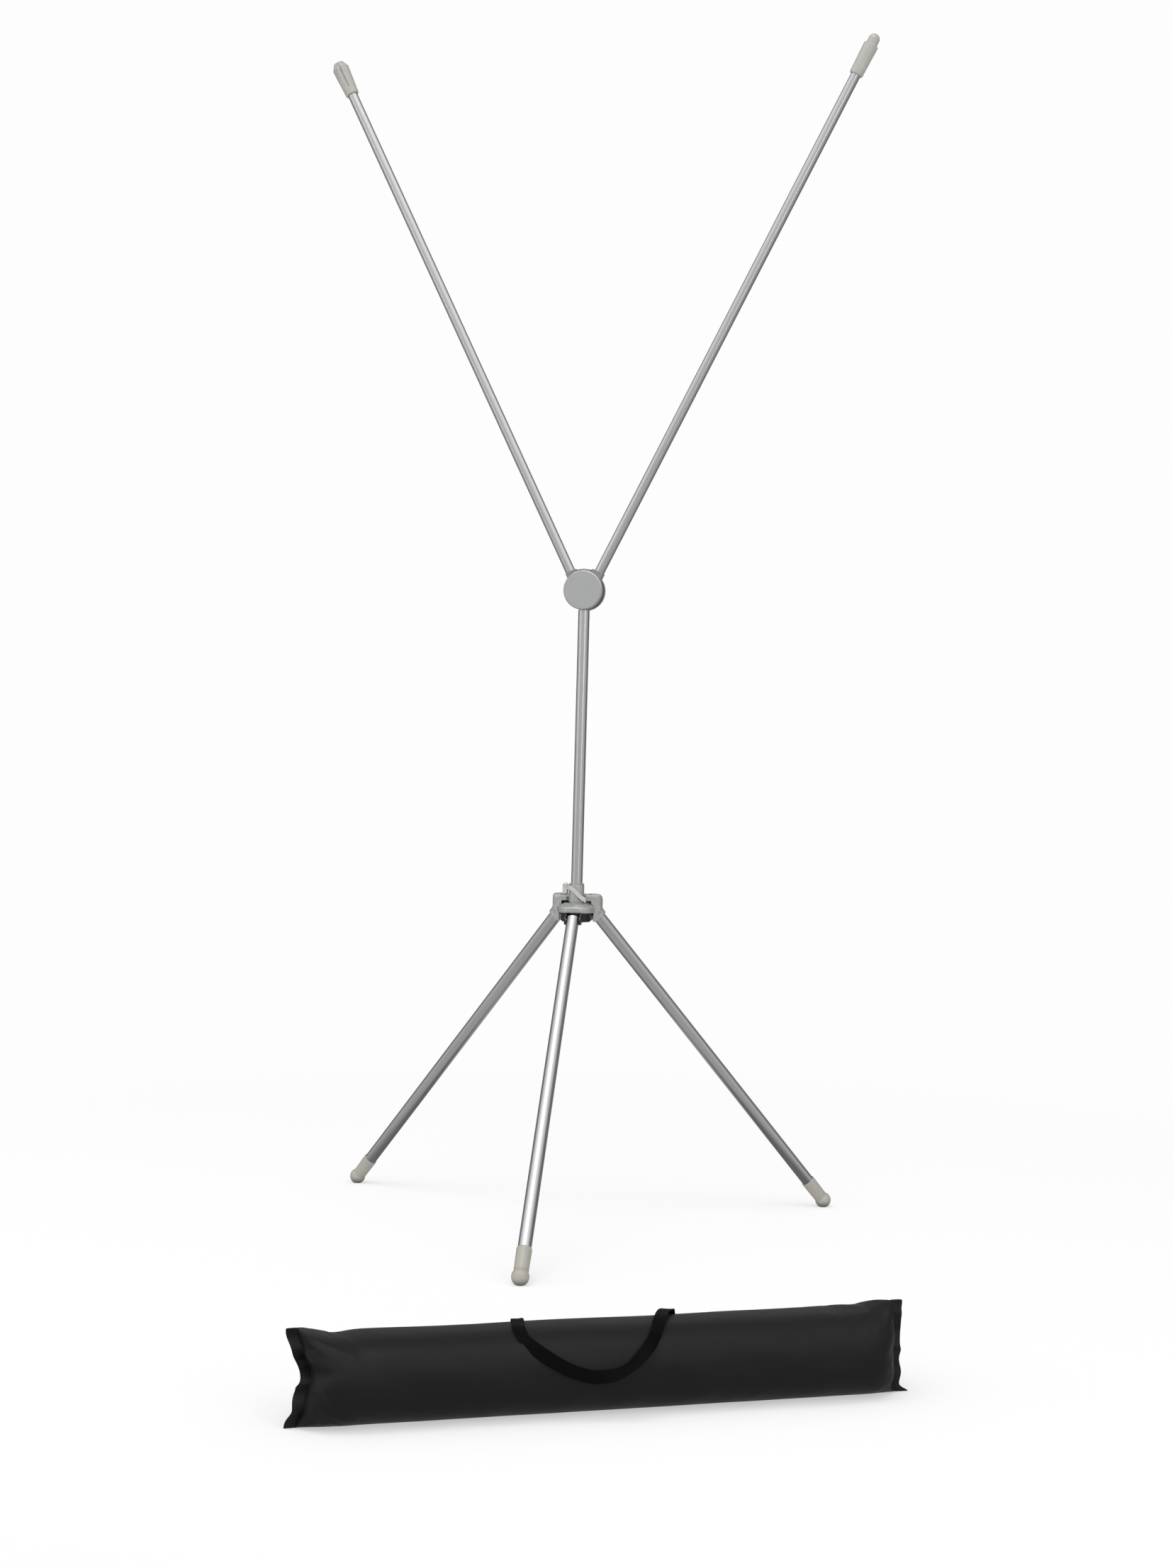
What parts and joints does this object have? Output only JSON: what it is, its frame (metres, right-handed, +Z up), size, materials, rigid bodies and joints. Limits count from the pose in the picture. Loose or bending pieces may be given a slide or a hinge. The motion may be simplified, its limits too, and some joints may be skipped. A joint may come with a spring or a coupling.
{
  "type": "background support stand",
  "caption": "Y-shaped stand for a collapsible studio background: hinged arms, clamped mast, folding tripod and a carry bag.",
  "frame": {"origin": "on the floor, on the mast's axis, in the plane of the three soles", "axes": "+Z up along the mast, +X towards the right arm in the plane of the two arms, -Y towards the front leg"},
  "size_m": [1.2892, 1.8453, 2.2499],
  "materials": {
    "satin_tube": "satin",
    "cast_grey": "satin",
    "lever_grey": "satin",
    "hub_plate": "turned satin",
    "black_drum": "glossy",
    "black_plastic": "matte",
    "bush_plastic": "matte",
    "foot_plastic": "satin",
    "tip_plastic": "glossy",
    "steel": "satin",
    "washer_white": "matte",
    "bag_fabric": "woven",
    "bag_webbing": "woven"
  },
  "bodies": {
    "tripod_head": {"head_casting": "cast_grey", "collar_ring": "cast_grey", "base_drum": "black_drum", "base_bolt": "steel", "base_washer": "steel", "leg_pivot_pins": "steel", "lever_pin": "steel", "clamp_pad": "black_plastic"},
    "clamp_lever": {"clamp_lever": "lever_grey"},
    "split_bush": {"split_bush": "bush_plastic"},
    "mast": {"mast_tube": "satin_tube", "mast_end_plug": "black_plastic", "mast_rivets": "steel", "hub_core": "cast_grey", "hub_front_plate": "hub_plate", "hub_rear_plate": "hub_plate", "pivot_posts": "steel", "hub_screws": "steel", "friction_washers": "washer_white"},
    "leg_front": {"leg_front_tube": "satin_tube", "leg_front_plug": "black_plastic", "leg_front_foot": "foot_plastic"},
    "leg_right": {"leg_right_tube": "satin_tube", "leg_right_plug": "black_plastic", "leg_right_foot": "foot_plastic"},
    "leg_left": {"leg_left_tube": "satin_tube", "leg_left_plug": "black_plastic", "leg_left_foot": "foot_plastic"},
    "arm_right": {"arm_right_knuckle": "cast_grey", "arm_right_lower_tube": "satin_tube", "arm_right_ferrule": "satin_tube", "arm_right_rivets": "steel"},
    "arm_right_upper": {"arm_right_upper_tube": "satin_tube", "arm_right_peg": "tip_plastic"},
    "arm_left": {"arm_left_knuckle": "cast_grey", "arm_left_lower_tube": "satin_tube", "arm_left_ferrule": "satin_tube", "arm_left_rivets": "steel"},
    "arm_left_upper": {"arm_left_upper_tube": "satin_tube", "arm_left_clip": "tip_plastic"},
    "carry_bag": {"bag_body": "bag_fabric", "bag_handle": "bag_webbing"}
  },
  "joints": [
    {"name": "leg_front_fold", "type": "hinge", "parent": "tripod_head", "child": "leg_front", "pos_m": [0.00375, -0.04283, 0.57767], "axis": [0.9962, 0.0872, 0], "range_deg": [0, 42.83]},
    {"name": "leg_right_fold", "type": "hinge", "parent": "tripod_head", "child": "leg_right", "pos_m": [0.03522, 0.02466, 0.58967], "axis": [-0.5736, 0.8192, 0], "range_deg": [0, 41.5]},
    {"name": "leg_left_fold", "type": "hinge", "parent": "tripod_head", "child": "leg_left", "pos_m": [-0.03897, 0.01817, 0.58967], "axis": [-0.4226, -0.9063, 0], "range_deg": [0, 41.5]},
    {"name": "lever_swing", "type": "hinge", "parent": "tripod_head", "child": "clamp_lever", "pos_m": [-0.02135, 0, 0.63272], "axis": [0, 0, -1], "range_deg": [0, 95]},
    {"name": "mast_turn", "type": "hinge", "parent": "tripod_head", "child": "split_bush", "pos_m": [0, 0, 0.63497], "axis": [0, 0, 1], "continuous": true},
    {"name": "mast_lift", "type": "slide", "parent": "split_bush", "child": "mast", "axis": [0, 0, 1], "range_m": [0, 0.07]},
    {"name": "arm_right_fold", "type": "hinge", "parent": "mast", "child": "arm_right", "pos_m": [0.0205, 0, 1.22806], "axis": [0, 1, 0], "range_deg": [0, 147]},
    {"name": "arm_right_extend", "type": "slide", "parent": "arm_right", "child": "arm_right_upper", "axis": [0.4462, 0, 0.8949], "range_m": [0, 0.07]},
    {"name": "arm_left_fold", "type": "hinge", "parent": "mast", "child": "arm_left", "pos_m": [-0.0205, 0, 1.22806], "axis": [0, -1, 0], "range_deg": [0, 147]},
    {"name": "arm_left_extend", "type": "slide", "parent": "arm_left", "child": "arm_left_upper", "axis": [-0.4462, 0, 0.8949], "range_m": [0, 0.07]},
    {"name": "bag_lift", "type": "slide", "parent": "tripod_head", "child": "carry_bag", "axis": [0, 0, 1], "range_m": [0, 0.3]}
  ]
}
